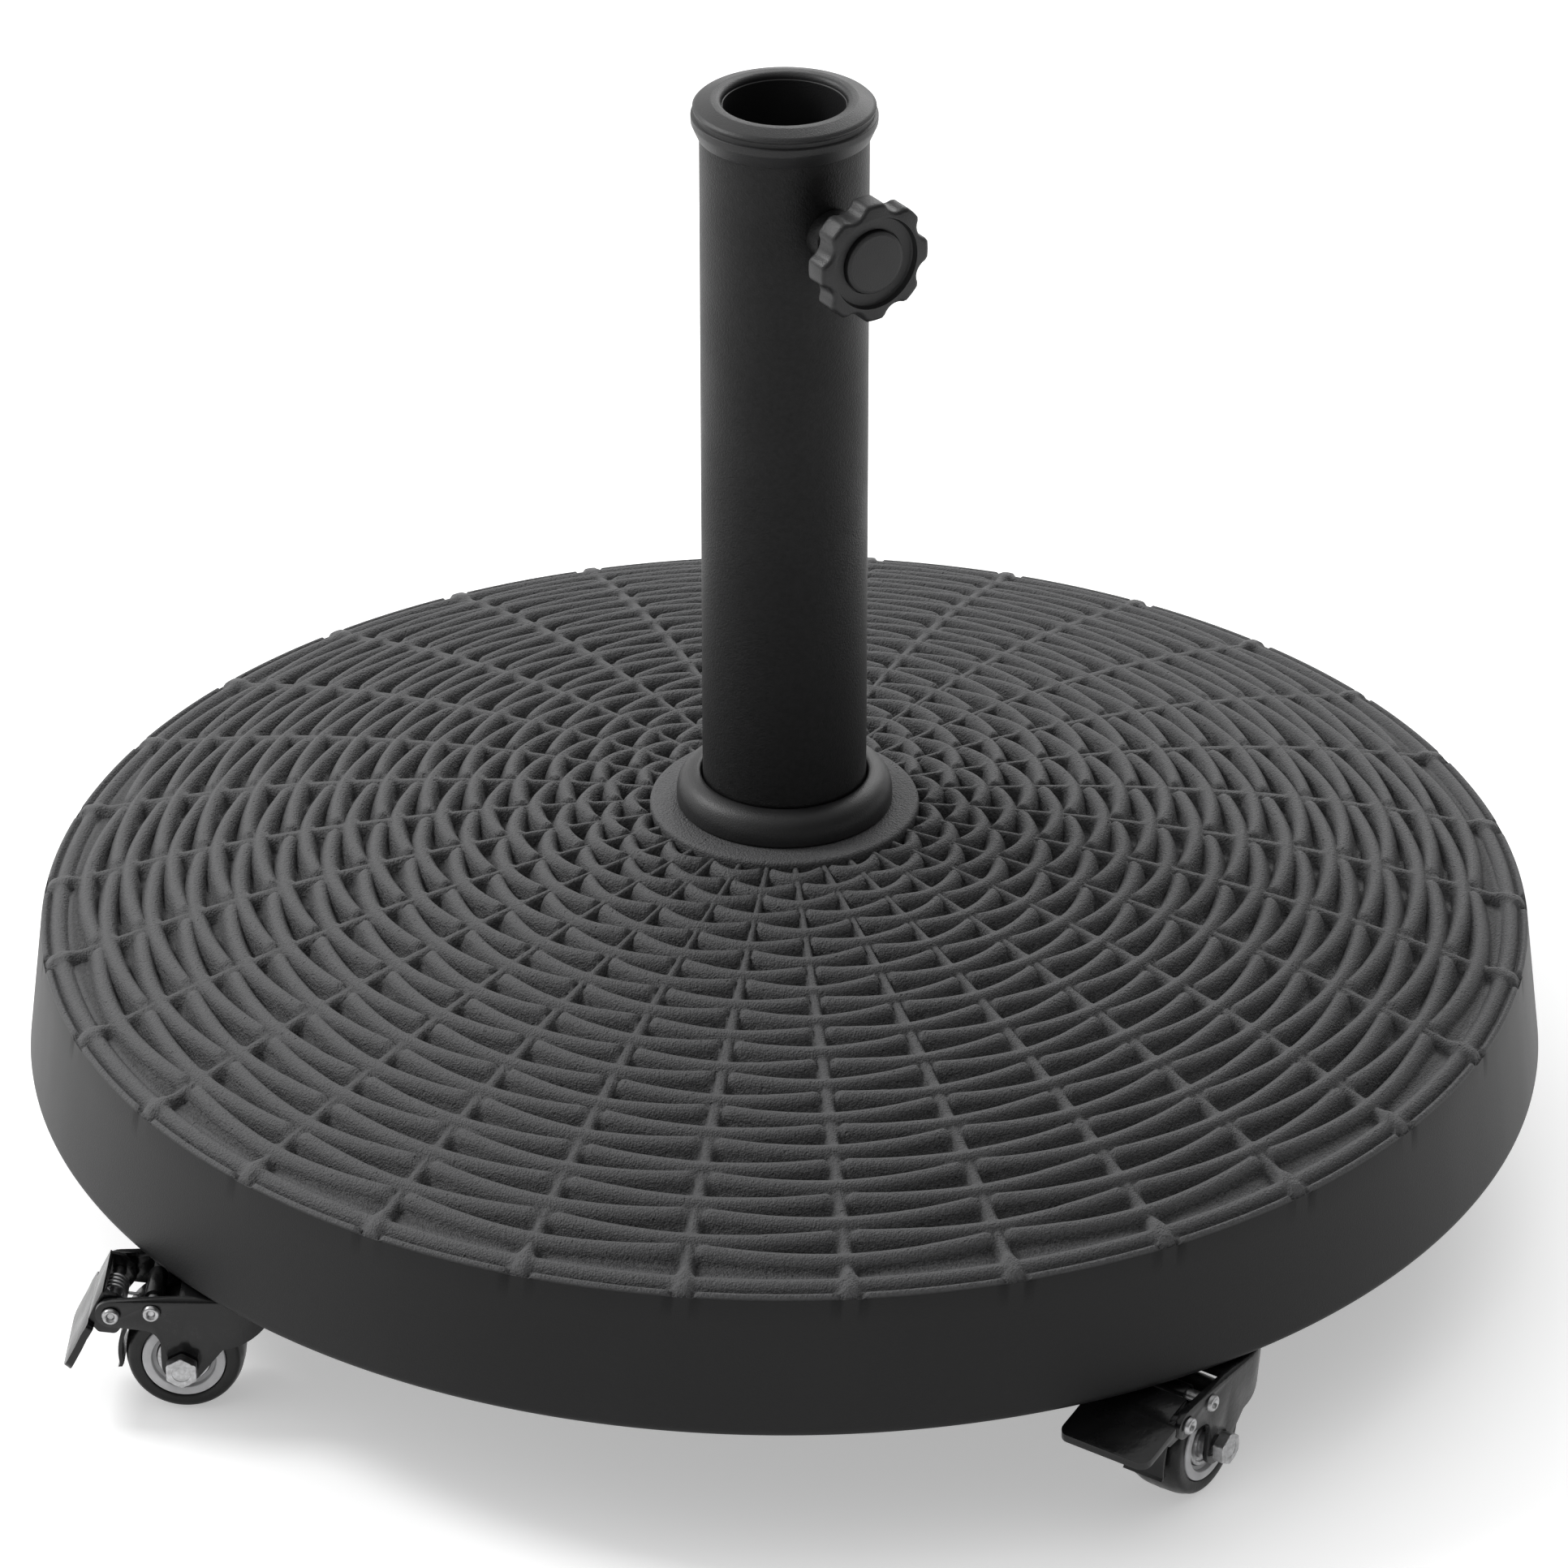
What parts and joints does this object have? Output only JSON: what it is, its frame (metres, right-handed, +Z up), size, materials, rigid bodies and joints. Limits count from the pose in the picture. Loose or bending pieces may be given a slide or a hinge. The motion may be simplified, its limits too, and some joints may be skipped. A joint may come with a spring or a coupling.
{
  "type": "parasol base",
  "caption": "Round parasol base with a woven-look domed disc, pole tube with reducer cap and clamp knob, on braked swivel castors.",
  "frame": {"origin": "on the ground under the middle of the disc", "axes": "+Z up along the pole tube; -Y is the side between the two front castors"},
  "size_m": [0.5278, 0.5278, 0.4],
  "materials": {
    "cast_resin": "matte",
    "powder_coat": "matte",
    "black_plastic": "satin",
    "black_steel": "gloss",
    "zinc": "satin",
    "grey_plastic": "satin",
    "tyre": "satin"
  },
  "bodies": {
    "base": {"base_disc": "cast_resin", "pole_tube": "powder_coat", "tube_end_plate": "zinc", "centre_bolt": "zinc", "centre_washer": "zinc", "base_collar": "black_plastic", "top_cap": "black_plastic", "clamp_boss": "powder_coat", "front_left_stem": "zinc", "front_left_race": "black_steel", "front_right_stem": "zinc", "front_right_race": "black_steel", "back_right_stem": "zinc", "back_right_race": "black_steel", "back_left_stem": "zinc", "back_left_race": "black_steel"},
    "clamp_screw": {"clamp_stud": "zinc"},
    "knob": {"knob_grip": "black_plastic", "knob_cap": "black_plastic"},
    "front_left_castor": {"front_left_fork": "black_steel", "front_left_axle_bolt": "zinc", "front_left_axle_nut": "zinc", "front_left_pedal_rivet": "zinc", "front_left_shoe_rivet": "zinc"},
    "front_left_wheel": {"front_left_tyre": "tyre", "front_left_rim": "grey_plastic", "front_left_bearing": "zinc"},
    "front_left_brake_pedal": {"front_left_pedal": "black_steel"},
    "front_left_brake_tongue": {"front_left_brake_shoe": "black_steel"},
    "front_right_castor": {"front_right_fork": "black_steel", "front_right_axle_bolt": "zinc", "front_right_axle_nut": "zinc", "front_right_pedal_rivet": "zinc", "front_right_shoe_rivet": "zinc"},
    "front_right_wheel": {"front_right_tyre": "tyre", "front_right_rim": "grey_plastic", "front_right_bearing": "zinc"},
    "front_right_brake_pedal": {"front_right_pedal": "black_steel"},
    "front_right_brake_tongue": {"front_right_brake_shoe": "black_steel"},
    "back_right_castor": {"back_right_fork": "black_steel", "back_right_axle_bolt": "zinc", "back_right_axle_nut": "zinc", "back_right_pedal_rivet": "zinc", "back_right_shoe_rivet": "zinc"},
    "back_right_wheel": {"back_right_tyre": "tyre", "back_right_rim": "grey_plastic", "back_right_bearing": "zinc"},
    "back_right_brake_pedal": {"back_right_pedal": "black_steel"},
    "back_right_brake_tongue": {"back_right_brake_shoe": "black_steel"},
    "back_left_castor": {"back_left_fork": "black_steel", "back_left_axle_bolt": "zinc", "back_left_axle_nut": "zinc", "back_left_pedal_rivet": "zinc", "back_left_shoe_rivet": "zinc"},
    "back_left_wheel": {"back_left_tyre": "tyre", "back_left_rim": "grey_plastic", "back_left_bearing": "zinc"},
    "back_left_brake_pedal": {"back_left_pedal": "black_steel"},
    "back_left_brake_tongue": {"back_left_brake_shoe": "black_steel"}
  },
  "joints": [
    {"name": "clamp_travel", "type": "slide", "parent": "base", "child": "clamp_screw", "axis": [-0.6468, 0.7627, 0], "range_m": [0, 0.008]},
    {"name": "knob_turn", "type": "hinge", "parent": "clamp_screw", "child": "knob", "pos_m": [0, 0, 0.3616], "axis": [-0.6468, 0.7627, 0], "range_deg": [0, 2304]},
    {"name": "front_left_swivel", "type": "hinge", "parent": "base", "child": "front_left_castor", "pos_m": [-0.16108, -0.18611, 0.048], "axis": [0, 0, 1], "continuous": true},
    {"name": "front_left_roll", "type": "hinge", "parent": "front_left_castor", "child": "front_left_wheel", "pos_m": [-0.17701, -0.18762, 0.02], "axis": [-0.0941, 0.9956, 0], "continuous": true},
    {"name": "front_left_brake", "type": "hinge", "parent": "front_left_castor", "child": "front_left_brake_pedal", "pos_m": [-0.19971, -0.18976, 0.041], "axis": [0.0941, -0.9956, 0], "range_deg": [-49, 0]},
    {"name": "front_left_shoe_swing", "type": "hinge", "parent": "front_left_castor", "child": "front_left_brake_tongue", "pos_m": [-0.18627, -0.18849, 0.0424], "axis": [0.0941, -0.9956, 0], "range_deg": [-4, 0]},
    {"name": "front_right_swivel", "type": "hinge", "parent": "base", "child": "front_right_castor", "pos_m": [0.16431, -0.18327, 0.048], "axis": [0, 0, 1], "continuous": true},
    {"name": "front_right_roll", "type": "hinge", "parent": "front_right_castor", "child": "front_right_wheel", "pos_m": [0.15677, -0.19739, 0.02], "axis": [-0.8821, 0.471, 0], "continuous": true},
    {"name": "front_right_brake", "type": "hinge", "parent": "front_right_castor", "child": "front_right_brake_pedal", "pos_m": [0.14603, -0.2175, 0.041], "axis": [0.8821, -0.471, 0], "range_deg": [0, 49]},
    {"name": "front_right_shoe_swing", "type": "hinge", "parent": "front_right_castor", "child": "front_right_brake_tongue", "pos_m": [0.15239, -0.20559, 0.0424], "axis": [0.8821, -0.471, 0], "range_deg": [0, 4]},
    {"name": "back_right_swivel", "type": "hinge", "parent": "base", "child": "back_right_castor", "pos_m": [0.16108, 0.18611, 0.048], "axis": [0, 0, 1], "continuous": true},
    {"name": "back_right_roll", "type": "hinge", "parent": "back_right_castor", "child": "back_right_wheel", "pos_m": [0.17612, 0.19159, 0.02], "axis": [0.342, -0.9397, 0], "continuous": true},
    {"name": "back_right_brake", "type": "hinge", "parent": "back_right_castor", "child": "back_right_brake_pedal", "pos_m": [0.19754, 0.19938, 0.041], "axis": [-0.342, 0.9397, 0], "range_deg": [0, 49]},
    {"name": "back_right_shoe_swing", "type": "hinge", "parent": "back_right_castor", "child": "back_right_brake_tongue", "pos_m": [0.18486, 0.19477, 0.0424], "axis": [-0.342, 0.9397, 0], "range_deg": [0, 4]},
    {"name": "back_left_swivel", "type": "hinge", "parent": "base", "child": "back_left_castor", "pos_m": [-0.16431, 0.18327, 0.048], "axis": [0, 0, 1], "continuous": true},
    {"name": "back_left_roll", "type": "hinge", "parent": "back_left_castor", "child": "back_left_wheel", "pos_m": [-0.17107, 0.19777, 0.02], "axis": [0.9063, 0.4226, 0], "continuous": true},
    {"name": "back_left_brake", "type": "hinge", "parent": "back_left_castor", "child": "back_left_brake_pedal", "pos_m": [-0.1807, 0.21844, 0.041], "axis": [-0.9063, -0.4226, 0], "range_deg": [0, 49]},
    {"name": "back_left_shoe_swing", "type": "hinge", "parent": "back_left_castor", "child": "back_left_brake_tongue", "pos_m": [-0.175, 0.2062, 0.0424], "axis": [-0.9063, -0.4226, 0], "range_deg": [0, 4]}
  ],
  "couplings": [
    {"joint": "clamp_travel", "follows": "knob_turn", "m_per_rad": 0.00019894},
    {"joint": "front_left_shoe_swing", "follows": "front_left_brake", "ratio": 0.0816},
    {"joint": "front_right_shoe_swing", "follows": "front_right_brake", "ratio": 0.0816},
    {"joint": "back_right_shoe_swing", "follows": "back_right_brake", "ratio": 0.0816},
    {"joint": "back_left_shoe_swing", "follows": "back_left_brake", "ratio": 0.0816}
  ]
}
